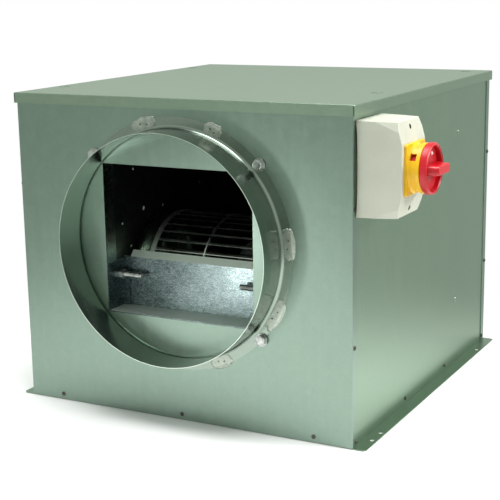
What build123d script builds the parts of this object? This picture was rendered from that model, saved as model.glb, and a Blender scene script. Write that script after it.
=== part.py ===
from build123d import *
import math
import os

# In-line exhaust fan: a galvanised steel box that holds a double-inlet centrifugal blower with a
# direct-drive motor. Millimetres. The origin is the centre of the foot flanges' hole pattern, on
# the underside. -Y is the outlet side, +X the side that carries the isolator switch, +Z is up.

# ---- Casing
CASE_WIDTH = 507.0  # across the panels' side returns
CASE_DEPTH = 545.0  # outlet face to inlet face
CASE_HEIGHT = 440.0  # underside to top of the lid
SHEET = 1.0
LAP_GAP = 0.1  # between two sheets that lap
FOLD_RADIUS = 1.3  # outside of a folded edge
LID_SEAM = 0.8  # slot where an end lip of the lid stops short of a side lip
LID_LIP = 14.2
LID_END_OVERHANG = 2.6
LID_SIDE_OVERHANG = 3.4
RETURN_WIDTH = 14.0  # end panel's edge, folded round onto the side panel
TOP_FLANGE = 42.0  # side panel's top edge, folded inward under the lid
END_TOP_FLANGE = 15.0
TRAY_LIP = 22.0
FOOT_WIDTH = 17.4
FOOT_MITRE = 4.0
FOOT_HOLE_RADIUS = 3.5
FOOT_HOLE_X = 264.5
FOOT_HOLE_Y = 204.0
END_HOLE_Y = -233.6  # one more hole in each foot, close to the outlet side

FRONT = -CASE_DEPTH / 2
REAR = CASE_DEPTH / 2
SIDE = CASE_WIDTH / 2
PANEL_SIDE = SIDE - SHEET - LAP_GAP  # outer face of a side panel
LID_UNDER = CASE_HEIGHT - SHEET
PANEL_TOP = LID_UNDER - LAP_GAP
STIFFENER_Y = 128.0
STIFFENER_WIDTH = 30.0
STIFFENER_DEPTH = 18.0

# ---- Round spigots for 315 mm duct
SPIGOT_RADIUS = 155.5
SPIGOT_LENGTH = 50.0
SPIGOT_SHEET = 0.8
SPIGOT_FILLET = 4.5
SPIGOT_RING_RADIUS = 171.5
SPIGOT_Z = 245.2
SPIGOT_X = 0.0

# ---- Blower outlet
OUTLET_HALF_WIDTH = 114.0
OUTLET_LOW = 141.6
OUTLET_HIGH = 348.9
OUTLET_BOLT_X = 125.5
OUTLET_BOLT_DZ = 115.0
OUTLET_FLANGE = 24.0
OUTLET_COLLAR = 24.0
BOLT_RADIUS = 4.0
BOLT_HOLE_RADIUS = 4.4

# ---- Blower scroll, wheel and motor, all on one axis along X
AXIS_Y = FRONT + 148.0
AXIS_Z = 167.0
SCROLL_HALF_WIDTH = 115.2
SCROLL_START_ANGLE = 175.0  # from +Y towards +Z, behind the cut-off plate
SCROLL_END_ANGLE = 454.4
SCROLL_START_RADIUS = 102.2
SCROLL_END_RADIUS = 183.6
WHEEL_RADIUS = 92.0
WHEEL_HALF_WIDTH = 88.0
BLADE_COUNT = 38
BLADE_ROOT_RADIUS = 77.0
BLADE_THICKNESS = 0.8
BLADE_PHASE = 139.6
RING_SHEET = 1.0
DISC_HALF = 0.8
INLET_THROAT_RADIUS = 74.0
INLET_MOUTH_RADIUS = 92.0
INLET_RIM_RADIUS = 104.0
CONE_SHEET = 0.9
THROAT_LENGTH = 14.0
SHAFT_RADIUS = 6.35
BEARING_CLEARANCE = 0.05
MOTOR_RADIUS = 57.0
MOTOR_START = 30.0
MOTOR_END = 132.0
MOTOR_WALL = 2.5
BELL_THICKNESS = 5.0
BEARING_RADIUS = 17.5
BEARING_WIDTH = 11.0
ARM_RADIUS = 113.0
ARM_X = 124.4
ARM_BOLT_RADIUS = 3.0
ARM_ANGLES = (-5.0, 115.0, 235.0)

# ---- Cut-off plate across the foot of the outlet (y from the outlet face)
CUTOFF_FACE_Y = 40.0
CUTOFF_LEAN = 4.5
CUTOFF_BEND_Z = 211.0
CUTOFF_LIP_Y = 52.0
CUTOFF_LIP_Z = 219.5
CUTOFF_SHEET = 1.2
CUTOFF_WING = 10.0
CUTOFF_WING_STEP = 3.0
CUTOFF_BOLT_Y = 31.8
CUTOFF_BOLT_TIP = 77.0
CUTOFF_BOLT_Z = 188.5

# ---- Isolator switch on the +X side panel
BOX_WIDTH = 80.0  # along Y
BOX_HEIGHT = 120.0
BOX_START = FRONT + 8.0
BOX_LOW = 300.5
BOX_BACK = SIDE + 0.3
BOX_FRONT = 313.0
BOX_FACET_X = 306.0
BOX_FACET_Z = 27.0
BOX_WALL = 2.5
BOX_EDGE = 1.0
BOX_BOW = 2.7
BOX_CORNER_Y = 6.0
BOX_CORNER_Z = 15.0
BOX_CORNER_X = 38.0
BOX_MID_Y = BOX_START + BOX_WIDTH / 2
BOX_MID_Z = BOX_LOW + BOX_HEIGHT / 2
PLATE_SIZE = 64.0
PLATE_THICKNESS = 3.4
COLLAR_RADIUS = 29.5
COLLAR_FLARE = 5.0
COLLAR_RIM = 5.0
KNOB_BACK = 331.4
KNOB_RIM = 341.0
KNOB_FLOOR = 334.0
KNOB_RADIUS = 32.0
KNOB_DISH_RADIUS = 28.4
GRIP_FRONT = 353.0
GRIP_LENGTH = 50.0
GRIP_CREST = 40.0
GRIP_WIDTH = 11.5
SPINDLE_SIDE = 7.0
KNOB_GAP = 0.3
WINDOW_ANGLES = (146.0, 26.0, 266.0)
SWITCH_FRONT = 294.0
TERMINAL_X = 266.0
CABLE_ENTRY_DROP = 30.0

# ---- Motor cable
CABLE_RADIUS = 3.5
CABLE_EXIT_RADIUS = 40.0
CABLE_EXIT_ANGLE = 100.0

# ---- Blower feet
FOOT_RAIL_X = 136.0
FOOT_RAIL_Z = 12.0

SCREW_LEVELS = ((7.6, 10.5), (133.6, 5.0), (312.0, 4.0))  # side-return screws: height, inset
FRONT_SCREW_X = (-198.5, 0.0, 198.5)
TRAY_SCREW_Y = (-84.5, 82.0)
TRAY_SCREW_Z = 9.0
FRONT_SCREW_Z = 8.5
RIVET_LEVELS = (101.5, 359.7)
LID_SCREWS = ((223.5, -123.5), (223.5, 240.5), (-243.0, -174.5), (-243.0, 189.5))


def block(x0, x1, y0, y1, z0, z1):
    """A box between two corners."""
    return Pos((x0 + x1) / 2, (y0 + y1) / 2, (z0 + z1) / 2) * Box(x1 - x0, y1 - y0, z1 - z0)


def rod(start, direction, radius, length):
    """A cylinder that starts at a point and runs along a direction."""
    bottom = (Align.CENTER, Align.CENTER, Align.MIN)
    return Plane(origin=start, z_dir=direction) * Cylinder(radius, length, align=bottom)


def tube(start, direction, radius, inner_radius, length):
    """A pipe that starts at a point and runs along a direction."""
    return rod(start, direction, radius, length) - rod(start, direction, inner_radius, length)


def hexagon(start, direction, across_flats, length):
    """A hexagonal prism, such as a bolt head or a nut."""
    plane = Plane(origin=start, z_dir=direction)
    outline = plane * RegularPolygon(across_flats / 2, 6, major_radius=False)
    return extrude(outline, length)


def turned(points, origin, direction):
    """Revolves an outline of (radius, distance along the axis) points about an axis."""
    outline = make_face(Polyline(*[(r, 0, a) for r, a in points], close=True))
    return Plane(origin=origin, z_dir=direction) * revolve(outline, Axis.Z, 360)


def profile_x(points, x0, x1):
    """Extrudes a closed (y, z) outline along X."""
    outline = make_face(Polyline(*[(x0, y, z) for y, z in points], close=True))
    return extrude(outline, x1 - x0, dir=(1, 0, 0))


def save(name, *pieces):
    """Writes one node, which may be a group of separate solids."""
    solids = [solid for piece in pieces for solid in piece.solids()]
    shape = solids[0] if len(solids) == 1 else Compound(solids)
    export_step(shape, f"parts/{name}.step")


def pan_screw(start, direction, head_radius=3.6, head_height=1.8, shank=9.0):
    """A domed sheet-metal screw, its head's underside at start, direction pointing outward."""
    dome = [(0, 0), (head_radius, 0), (head_radius, 0.45 * head_height)]
    dome += [(0.72 * head_radius, 0.85 * head_height), (0.3 * head_radius, head_height), (0, head_height)]
    head = turned(dome, start, direction)
    mid = Plane(origin=start, z_dir=direction)
    recess = mid * Pos(0, 0, head_height) * (Box(3.2, 0.8, 1.6) + Box(0.8, 3.2, 1.6))
    inward = tuple(-d for d in direction)
    return head - recess + rod(start, inward, 1.9, shank)


def hex_bolt(start, direction, shank, across_flats=13.0, head=5.3, radius=BOLT_RADIUS):
    """A hexagon bolt, its head's underside at start, direction pointing outward."""
    inward = tuple(-d for d in direction)
    cap = hexagon(start, direction, across_flats, head)
    crown = turned(
        [(0, head), (across_flats * 0.47, head), (across_flats * 0.40, head + 0.5), (0, head + 0.5)],
        start,
        direction,
    )
    return cap + crown + rod(start, inward, radius, shank)


def on_wheel(radius, degrees):
    """A (y, z) point at a radius and an angle about the blower's axis."""
    turn = math.radians(degrees)
    return (AXIS_Y + radius * math.cos(turn), AXIS_Z + radius * math.sin(turn))


def scroll_radius(degrees):
    """The scroll's spiral: the radius grows evenly with the angle."""
    share = (degrees - SCROLL_START_ANGLE) / (SCROLL_END_ANGLE - SCROLL_START_ANGLE)
    return SCROLL_START_RADIUS + share * (SCROLL_END_RADIUS - SCROLL_START_RADIUS)


def scroll_curve(x, offset):
    """The spiral through evenly spaced points, moved outward by an offset."""
    steps = 18
    sweep = SCROLL_END_ANGLE - SCROLL_START_ANGLE
    angles = [SCROLL_START_ANGLE + sweep * i / steps for i in range(steps + 1)]
    return Spline(*[(x, *on_wheel(scroll_radius(a) + offset, a)) for a in angles])


# ------------------------------------------------------------------ casing

def make_lid():
    half_x = SIDE + LID_SIDE_OVERHANG
    half_y = REAR + LID_END_OVERHANG
    low = CASE_HEIGHT - LID_LIP
    lid = block(-half_x, half_x, -half_y, half_y, low, CASE_HEIGHT)
    lid = fillet(lid.edges().group_by(Axis.Z)[-1] + lid.edges().filter_by(Axis.Z), FOLD_RADIUS)
    inner_x = half_x - SHEET
    inner_y = half_y - SHEET
    lid -= block(-inner_x, inner_x, -inner_y, inner_y, low, LID_UNDER)
    for side in (-1, 1):
        seam_x = side * (half_x - 2.0)
        for end in (-1, 1):
            slot = Box(LID_SEAM, 2 * SHEET, LID_LIP - 2.0)
            lid -= Pos(seam_x, end * half_y, low + LID_LIP / 2 - 1.0) * slot
    for x, y in LID_SCREWS:
        cup = turned([(0, -3.2), (4.0, -3.2), (9.0, -0.6), (9.0, 0), (0, 0)], (x, y, CASE_HEIGHT), (0, 0, 1))
        dish = turned([(0, -2.2), (4.0, -2.2), (9.0, 0), (0, 0)], (x, y, CASE_HEIGHT), (0, 0, 1))
        lid = lid + cup - dish - rod((x, y, CASE_HEIGHT - 5), (0, 0, 1), 2.3, 6)
    save("lid", lid)


def is_at(edge, half_x, y):
    """Whether an upright edge stands at +-half_x and y."""
    spot = edge.center()
    return math.isclose(abs(spot.X), half_x, abs_tol=1e-3) and math.isclose(spot.Y, y, abs_tol=1e-3)


def end_panel(direction):
    """An end panel with folded side returns and top flange; direction is its outward Y sign."""
    face = direction * REAR
    inner = direction * (REAR - SHEET)
    y_low, y_high = sorted((face, inner))
    panel = block(-SIDE, SIDE, y_low, y_high, SHEET + LAP_GAP, PANEL_TOP)
    r_low, r_high = sorted((face, direction * (REAR - RETURN_WIDTH)))
    for side in (-1, 1):
        x_low, x_high = sorted((side * (SIDE - SHEET), side * SIDE))
        panel += block(x_low, x_high, r_low, r_high, SHEET + LAP_GAP, PANEL_TOP)
    folds = [e for e in panel.edges().filter_by(Axis.Z) if is_at(e, SIDE, face)]
    panel = fillet(folds, FOLD_RADIUS)
    t_low, t_high = sorted((inner, direction * (REAR - SHEET - END_TOP_FLANGE)))
    reach = PANEL_SIDE - TOP_FLANGE - 1.0
    panel += block(-reach, reach, t_low, t_high, PANEL_TOP - SHEET, PANEL_TOP)
    for side in (-1, 1):
        for level, inset in SCREW_LEVELS:
            y = direction * (REAR - inset)
            panel -= rod((side * (SIDE - 3), y, level), (side, 0, 0), 2.0, 6)
    for x in FRONT_SCREW_X:
        panel -= rod((x, direction * (REAR - 3), FRONT_SCREW_Z), (0, direction, 0), 2.0, 6)
    return panel


def make_end_panels():
    front = end_panel(-1)
    opening = OUTLET_HALF_WIDTH
    front -= block(-opening, opening, FRONT - 1, FRONT + 2, OUTLET_LOW, OUTLET_HIGH)
    for x, z in outlet_bolts():
        front -= rod((x, FRONT - 2, z), (0, 1, 0), BOLT_HOLE_RADIUS, 5)
    save("front_panel", front)
    rear = end_panel(1)
    bore = SPIGOT_RADIUS - SPIGOT_SHEET - 1.5
    rear -= rod((SPIGOT_X, REAR - 3, SPIGOT_Z), (0, 1, 0), bore, 6)
    for x, z in inlet_screws():
        rear -= rod((x, REAR - 3, z), (0, 1, 0), 2.0, 6)
    save("rear_panel", rear)


def make_side_panels():
    length = REAR - SHEET - LAP_GAP
    for side, name in ((-1, "side_panel_left"), (1, "side_panel_right")):
        x_low, x_high = sorted((side * (PANEL_SIDE - SHEET), side * PANEL_SIDE))
        panel = block(x_low, x_high, -length, length, 0, PANEL_TOP)
        f_low, f_high = sorted((side * PANEL_SIDE, side * (SIDE + FOOT_WIDTH)))
        foot = block(f_low, f_high, -REAR, REAR, 0, SHEET)
        tips = foot.edges().filter_by(Axis.Z).sort_by(Axis.X)
        foot = chamfer(tips[-2:] if side > 0 else tips[:2], FOOT_MITRE)
        t_low, t_high = sorted((side * (PANEL_SIDE - TOP_FLANGE), side * (PANEL_SIDE - SHEET)))
        panel += foot + block(t_low, t_high, -length, length, PANEL_TOP - SHEET, PANEL_TOP)
        for y in (-FOOT_HOLE_Y, FOOT_HOLE_Y, END_HOLE_Y):
            panel -= rod((side * FOOT_HOLE_X, y, -1), (0, 0, 1), FOOT_HOLE_RADIUS, 4)
        for x, y in LID_SCREWS:
            if x * side > 0:
                panel -= rod((x, y, PANEL_TOP - 3), (0, 0, 1), 9.4, 5)
        for y in TRAY_SCREW_Y:
            panel -= rod((side * (PANEL_SIDE - 3), y, TRAY_SCREW_Z), (side, 0, 0), 2.0, 6)
        for end in (-1, 1):
            for level, inset in SCREW_LEVELS:
                y = end * (REAR - inset)
                panel -= rod((side * (PANEL_SIDE - 3), y, level), (side, 0, 0), 2.0, 6)
        for z in RIVET_LEVELS:
            panel -= rod((side * (PANEL_SIDE - 3), STIFFENER_Y, z), (side, 0, 0), 2.1, 6)
        if side > 0:
            panel -= rod((PANEL_SIDE - 3, BOX_MID_Y, BOX_MID_Z - 30), (1, 0, 0), 8.2, 6)
            for y, z in box_screws():
                panel -= rod((PANEL_SIDE - 3, y, z), (1, 0, 0), 2.0, 6)
        save(name, panel)


def make_base_tray():
    half_x = PANEL_SIDE - SHEET - LAP_GAP
    half_y = REAR - SHEET - LAP_GAP
    tray = block(-half_x, half_x, -half_y, half_y, 0, TRAY_LIP)
    tray -= block(-half_x + SHEET, half_x - SHEET, -half_y + SHEET, half_y - SHEET, SHEET, TRAY_LIP)
    for side in (-1, 1):
        for y in TRAY_SCREW_Y:
            tray -= rod((side * (half_x - 3), y, TRAY_SCREW_Z), (side, 0, 0), 2.0, 6)
        level, inset = SCREW_LEVELS[0]
        for end in (-1, 1):
            tray -= rod((side * (half_x - 3), end * (REAR - inset), level), (side, 0, 0), 2.0, 6)
        for x in FRONT_SCREW_X:
            tray -= rod((x, side * (half_y - 3), FRONT_SCREW_Z), (0, side, 0), 2.0, 6)
    for x, y in foot_bolts():
        tray -= rod((x, y, -1), (0, 0, 1), 3.2, 4)
    save("base_tray", tray)


def make_stiffeners():
    pieces = []
    for side in (-1, 1):
        outer = side * (PANEL_SIDE - SHEET - LAP_GAP)
        x_low, x_high = sorted((outer, outer - side * STIFFENER_DEPTH))
        half = STIFFENER_WIDTH / 2
        rail = block(x_low, x_high, STIFFENER_Y - half, STIFFENER_Y + half, 26, 420)
        c_low, c_high = sorted((outer - side * SHEET, outer - side * (STIFFENER_DEPTH + 1)))
        rail -= block(c_low, c_high, STIFFENER_Y - half + SHEET, STIFFENER_Y + half - SHEET, 25, 421)
        for z in RIVET_LEVELS:
            rail -= rod((outer - side * 3, STIFFENER_Y, z), (side, 0, 0), 2.1, 6)
        pieces.append(rail)
    save("side_stiffeners", *pieces)


# ------------------------------------------------------------------ spigots and casing fasteners

def outlet_bolts():
    """Where the four outlet bolts sit, as (x, z)."""
    return [
        (x, SPIGOT_Z + dz)
        for x in (-OUTLET_BOLT_X, OUTLET_BOLT_X)
        for dz in (-OUTLET_BOLT_DZ, OUTLET_BOLT_DZ)
    ]


def inlet_screws():
    """Where the inlet spigot's eight screws sit, as (x, z)."""
    ring = SPIGOT_RADIUS + 9.5
    turns = [math.radians(22.5 + 45 * i) for i in range(8)]
    return [(SPIGOT_X + ring * math.cos(t), SPIGOT_Z + ring * math.sin(t)) for t in turns]


def spigot(y, direction):
    """A duct collar: a thin tube that flares into a flat ring on the panel."""
    tube_out = SPIGOT_RADIUS
    tube_in = SPIGOT_RADIUS - SPIGOT_SHEET
    bend = SPIGOT_FILLET
    steps = 6
    turns = [math.radians(90 * i / steps) for i in range(steps + 1)]
    outer = [(tube_out + bend * (1 - math.cos(t)), SPIGOT_SHEET + bend * (1 - math.sin(t))) for t in turns]
    bend_in = bend + SPIGOT_SHEET
    inner = [(tube_in + bend_in * (1 - math.cos(t)), bend_in * (1 - math.sin(t))) for t in turns]
    points = [(tube_in, SPIGOT_LENGTH), (tube_out, SPIGOT_LENGTH), *outer]
    points += [(SPIGOT_RING_RADIUS, SPIGOT_SHEET), (SPIGOT_RING_RADIUS, 0), *reversed(inner)]
    return turned(points, (SPIGOT_X, y, SPIGOT_Z), (0, direction, 0))


def make_spigots():
    outlet = spigot(FRONT, -1)
    for x, z in outlet_bolts():
        outlet -= rod((x, FRONT - 3, z), (0, 1, 0), BOLT_HOLE_RADIUS, 5)
    save("outlet_spigot", outlet)
    inlet = spigot(REAR, 1)
    for x, z in inlet_screws():
        inlet -= rod((x, REAR - 3, z), (0, 1, 0), 2.0, 6)
    save("inlet_spigot", inlet)


def make_casing_fasteners():
    washer_face = FRONT - SPIGOT_SHEET
    washers = []
    bolts = []
    for x, z in outlet_bolts():
        washers.append(tube((x, washer_face, z), (0, -1, 0), 8.6, BOLT_HOLE_RADIUS, 1.6))
        bolts.append(hex_bolt((x, washer_face - 1.6, z), (0, -1, 0), 14.0))
    save("outlet_bolt_washers", *washers)
    save("outlet_bolts", *bolts)
    inlet = [pan_screw((x, REAR + SPIGOT_SHEET, z), (0, 1, 0)) for x, z in inlet_screws()]
    save("inlet_spigot_screws", *inlet)
    save("lid_screws", *[
        pan_screw((x, y, CASE_HEIGHT - 2.2), (0, 0, 1), 3.4, 1.6, 12.0) for x, y in LID_SCREWS
    ])
    panel_screws = []
    for end in (-1, 1):
        for x in FRONT_SCREW_X:
            panel_screws.append(pan_screw((x, end * REAR, FRONT_SCREW_Z), (0, end, 0), 3.0, 1.6))
        for side in (-1, 1):
            for level, inset in SCREW_LEVELS:
                start = (side * SIDE, end * (REAR - inset), level)
                panel_screws.append(pan_screw(start, (side, 0, 0), 3.0, 1.6, 5.0))
    sides = (-1, 1)
    for side in sides:
        for y in TRAY_SCREW_Y:
            panel_screws.append(pan_screw((side * PANEL_SIDE, y, TRAY_SCREW_Z), (side, 0, 0), 3.0, 1.6))
    save("panel_screws", *panel_screws)
    rivets = []
    for side in sides:
        for z in RIVET_LEVELS:
            start = (side * PANEL_SIDE, STIFFENER_Y, z)
            dome = [(0, 0), (4.2, 0), (3.4, 0.9), (1.6, 1.3), (0, 1.3)]
            rivets.append(turned(dome, start, (side, 0, 0)) + rod(start, (-side, 0, 0), 2.0, 6.0))
    save("stiffener_rivets", *rivets)


# ------------------------------------------------------------------ blower housing

def make_outlet_frame():
    back = FRONT + SHEET
    wide = OUTLET_HALF_WIDTH + OUTLET_FLANGE
    tall = OUTLET_FLANGE
    flange = block(-wide, wide, back, back + SHEET, OUTLET_LOW - tall, OUTLET_HIGH + tall)
    wall = OUTLET_HALF_WIDTH + SHEET
    collar = block(-wall, wall, back, FRONT + OUTLET_COLLAR, OUTLET_LOW - SHEET, OUTLET_HIGH + SHEET)
    frame = flange + collar
    inside = OUTLET_HALF_WIDTH
    frame -= block(-inside, inside, back - 1, FRONT + OUTLET_COLLAR + 1, OUTLET_LOW, OUTLET_HIGH)
    for x, z in outlet_bolts():
        frame -= rod((x, back - 1, z), (0, 1, 0), BOLT_HOLE_RADIUS, 4)
    save("outlet_frame", frame)


def hex_nut(seat, direction, across_flats, height, radius):
    """A hexagon nut that sits on a face."""
    return hexagon(seat, direction, across_flats, height) - rod(seat, direction, radius, height)


def make_nuts():
    """The nuts of the outlet bolts, of the cut-off bolts and of the motor arms' bolts."""
    face = FRONT + 2 * SHEET
    nuts = [hex_nut((x, face, z), (0, 1, 0), 13.0, 6.5, BOLT_RADIUS) for x, z in outlet_bolts()]
    inner = OUTLET_HALF_WIDTH - LAP_GAP - CUTOFF_SHEET
    for side in (-1, 1):
        seat = (side * inner, FRONT + CUTOFF_BOLT_Y, CUTOFF_BOLT_Z)
        nuts.append(hex_nut(seat, (-side, 0, 0), 13.0, 6.5, BOLT_RADIUS))
    for angle in ARM_ANGLES:
        seat = (SCROLL_HALF_WIDTH, *on_wheel(ARM_RADIUS, angle))
        nuts.append(hex_nut(seat, (-1, 0, 0), 10.0, 5.0, ARM_BOLT_RADIUS))
    save("hex_nuts", *nuts)


def make_scroll():
    x0 = -SCROLL_HALF_WIDTH + LAP_GAP
    inner = scroll_curve(x0, 0)
    outer = scroll_curve(x0, SHEET)
    front = FRONT + 3.0
    top = (inner @ 1).Z
    lip = (x0, front, top)
    lip_over = (x0, front, top + SHEET)
    edges = [
        inner,
        Line(inner @ 1, lip),
        Line(lip, lip_over),
        Line(lip_over, outer @ 1),
        outer,
        Line(outer @ 0, inner @ 0),
    ]
    wrap = extrude(make_face(edges), 2 * (SCROLL_HALF_WIDTH - LAP_GAP), dir=(1, 0, 0))
    save("blower_scroll", wrap)


def side_plate_outline(x, margin):
    """The blower side plate's outline: the spiral, and the straight throat to the outlet."""
    spiral = scroll_curve(x, margin)
    centre = (x, AXIS_Y, AXIS_Z)
    snail = make_face([spiral, Line(spiral @ 1, centre), Line(centre, spiral @ 0)])
    top = (spiral @ 1).Z
    front = FRONT + 3.0
    low = OUTLET_LOW - SHEET
    corners = [(x, front, low), (x, AXIS_Y, low), (x, AXIS_Y, top), (x, front, top)]
    return snail, make_face(Polyline(*corners, close=True))


def wall_dots():
    """Where rivets join the scroll's tabs to a side plate, as (y, z)."""
    spots = [on_wheel(scroll_radius(a) - 9, a) for a in (222, 312, 345, 375, 406, 432)]
    return spots + [(FRONT + 45, 257.0), (FRONT + 77, 330.0)]


def make_side_plates():
    for side, name in ((-1, "blower_side_left"), (1, "blower_side_right")):
        x = side * SCROLL_HALF_WIDTH
        snail, throat = side_plate_outline(x, SHEET + 5.0)
        plate = extrude(snail, SHEET, dir=(side, 0, 0)) + extrude(throat, SHEET, dir=(side, 0, 0))
        start = (x - side * 2, AXIS_Y, AXIS_Z)
        plate -= rod(start, (side, 0, 0), INLET_MOUTH_RADIUS + CONE_SHEET + 0.1, 6)
        for angle in ARM_ANGLES:
            y, z = on_wheel(ARM_RADIUS, angle)
            plate -= rod((x - side * 2, y, z), (side, 0, 0), 3.2, 6)
        plate -= rod((x - side * 2, FRONT + CUTOFF_BOLT_Y, CUTOFF_BOLT_Z), (side, 0, 0), BOLT_HOLE_RADIUS, 6)
        for y, z in wall_dots():
            plate -= rod((x - side * 2, y, z), (side, 0, 0), 1.6, 6)
        for y, z in cone_rivets():
            plate -= rod((x - side * 2, y, z), (side, 0, 0), 1.6, 6)
        save(name, plate)


def cone_rivets():
    """Where rivets hold an inlet cone's rim, as (y, z)."""
    return [on_wheel(98.5, 27 + 60 * i) for i in range(6)]


def make_inlet_cones():
    """Bell-mouthed inlets: a rim on the side plate and a quarter-round into the wheel's eye."""
    bend = INLET_MOUTH_RADIUS - INLET_THROAT_RADIUS
    steps = 8
    turns = [math.radians(90 * i / steps) for i in range(steps + 1)]
    end = -bend - THROAT_LENGTH
    outside = [
        (INLET_MOUTH_RADIUS + CONE_SHEET - bend * math.sin(t), bend * math.cos(t) - bend) for t in turns
    ]
    inside = [
        (INLET_MOUTH_RADIUS - bend * math.sin(t), (bend + CONE_SHEET) * math.cos(t) - bend) for t in turns
    ]
    points = [(INLET_RIM_RADIUS, CONE_SHEET), (INLET_RIM_RADIUS, 0), *outside]
    points += [(INLET_THROAT_RADIUS + CONE_SHEET, end), (INLET_THROAT_RADIUS, end), *reversed(inside)]
    cones = []
    for side in (-1, 1):
        cone = turned(points, (side * (SCROLL_HALF_WIDTH + SHEET), AXIS_Y, AXIS_Z), (side, 0, 0))
        for y, z in cone_rivets():
            cone -= rod((side * (SCROLL_HALF_WIDTH - 2), y, z), (side, 0, 0), 1.6, 8)
        cones.append(cone)
    save("inlet_cones", *cones)


def make_blower_rivets():
    rivets = []
    for side in (-1, 1):
        face = side * (SCROLL_HALF_WIDTH + SHEET)
        inside = side * SCROLL_HALF_WIDTH
        for y, z in cone_rivets():
            start = (face + side * CONE_SHEET, y, z)
            dome = [(0, 0), (3.0, 0), (2.2, 0.9), (0, 1.2)]
            tail = turned(dome, (inside, y, z), (-side, 0, 0))
            shank = rod(start, (-side, 0, 0), 1.5, SHEET + CONE_SHEET)
            rivets.append(turned(dome, start, (side, 0, 0)) + tail + shank)
        for y, z in wall_dots():
            dome = [(0, 0), (2.4, 0), (1.8, 0.8), (0, 1.1)]
            head = turned(dome, (inside, y, z), (-side, 0, 0))
            tail = turned(dome, (face, y, z), (side, 0, 0))
            rivets.append(head + tail + rod((inside, y, z), (side, 0, 0), 1.5, SHEET))
    save("blower_rivets", *rivets)


def make_cutoff():
    """The plate that closes the foot of the outlet, with a tongue along its top."""
    face_low = FRONT + CUTOFF_FACE_Y
    face_high = face_low + CUTOFF_LEAN
    lip_y = FRONT + CUTOFF_LIP_Y
    floor = OUTLET_LOW + LAP_GAP
    front = FRONT + SHEET / 2
    t = CUTOFF_SHEET
    half = OUTLET_HALF_WIDTH - LAP_GAP
    main = half - CUTOFF_WING
    ear_top = CUTOFF_BEND_Z - 2.0
    back = face_low + t / 2
    apron = [(front, floor), (back, floor), (back, floor + t), (front, floor + t)]
    body = [
        (face_low, floor),
        (face_high, CUTOFF_BEND_Z),
        (lip_y, CUTOFF_LIP_Z),
        (lip_y + 0.8 * t, CUTOFF_LIP_Z - 0.9 * t),
        (face_high + t, CUTOFF_BEND_Z - 0.4 * t),
        (face_low + t, floor),
    ]
    wing = [
        (face_low - CUTOFF_WING_STEP, floor),
        (face_high - CUTOFF_WING_STEP, CUTOFF_BEND_Z),
        (face_high + t, CUTOFF_BEND_Z),
        (face_low + t, floor),
    ]
    ear = [(front, floor), (front, ear_top), (face_high - 1, ear_top), (face_low - 1, floor)]
    plate = profile_x(apron, -half, half) + profile_x(body, -main, main)
    for side in (-1, 1):
        plate += profile_x(wing, *sorted((side * main, side * half)))
        plate += profile_x(ear, *sorted((side * (half - t), side * half)))
        bolt = (side * (half - 3), FRONT + CUTOFF_BOLT_Y, CUTOFF_BOLT_Z)
        plate -= rod(bolt, (side, 0, 0), BOLT_HOLE_RADIUS, 6)
    save("cutoff_plate", plate)


def make_cutoff_bolts():
    outer = SCROLL_HALF_WIDTH + SHEET
    spot = (FRONT + CUTOFF_BOLT_Y, CUTOFF_BOLT_Z)
    bolts = [hex_bolt((s * outer, *spot), (s, 0, 0), outer - CUTOFF_BOLT_TIP) for s in (-1, 1)]
    save("cutoff_bolts", *bolts)


def foot_bolts():
    """Where the blower's four rubber feet stand, as (x, y)."""
    return [(x, AXIS_Y + dy) for x in (-FOOT_RAIL_X, FOOT_RAIL_X) for dy in (-45.0, 45.0)]


def make_blower_feet():
    rails = []
    side_bolts = []
    for side in (-1, 1):
        near = side * (SCROLL_HALF_WIDTH + SHEET + LAP_GAP)
        leg = side * (SCROLL_HALF_WIDTH + SHEET + LAP_GAP + 2.0)
        far = side * (FOOT_RAIL_X + 14.0)
        y0 = AXIS_Y - 62.0
        y1 = AXIS_Y + 62.0
        rail = block(*sorted((near, leg)), y0, y1, FOOT_RAIL_Z, 58.0)
        rail += block(*sorted((near, far)), y0, y1, FOOT_RAIL_Z, FOOT_RAIL_Z + 2.0)
        for x, y in foot_bolts():
            rail -= rod((x, y, 0), (0, 0, 1), 3.3, 30)
        for dy in (-24.0, 24.0):
            spot = (leg, AXIS_Y + dy, 50.0)
            rail -= rod((near - side * 2, AXIS_Y + dy, 50.0), (side, 0, 0), 2.6, 8)
            side_bolts.append(hex_bolt(spot, (side, 0, 0), 2.0, 8.0, 3.5, 2.5))
        rails.append(rail)
    save("blower_feet", *rails)
    save("blower_foot_screws", *side_bolts)
    rubbers = []
    bolts = []
    for x, y in foot_bolts():
        waist = [(3.3, SHEET), (11, SHEET), (9.5, 6.5), (11, FOOT_RAIL_Z), (3.3, FOOT_RAIL_Z)]
        rubbers.append(turned(waist, (x, y, 0), (0, 0, 1)))
        top = FOOT_RAIL_Z + 2.0
        bolts.append(hex_bolt((x, y, top), (0, 0, 1), top, 10.0, 4.0, 3.0))
    save("foot_rubbers", *rubbers)
    save("foot_bolts", *bolts)


# ------------------------------------------------------------------ wheel

def blade(x0, x1, degrees):
    """One forward-curved blade, a thin curved strip along X."""
    tip_radius = WHEEL_RADIUS
    lean = 6.5
    belly = -0.8
    mid_radius = (BLADE_ROOT_RADIUS + tip_radius) / 2
    turn = math.degrees(BLADE_THICKNESS / mid_radius)
    front = [(BLADE_ROOT_RADIUS, 0), (mid_radius, belly + lean / 2 - 1.4), (tip_radius, lean)]
    inner = [(x0, *on_wheel(r, degrees + a)) for r, a in front]
    outer = [(x0, *on_wheel(r, degrees + a + turn)) for r, a in front]
    edges = [
        ThreePointArc(*inner),
        Line(inner[2], outer[2]),
        ThreePointArc(*reversed(outer)),
        Line(outer[0], inner[0]),
    ]
    return extrude(make_face(edges), x1 - x0, dir=(1, 0, 0))


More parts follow.
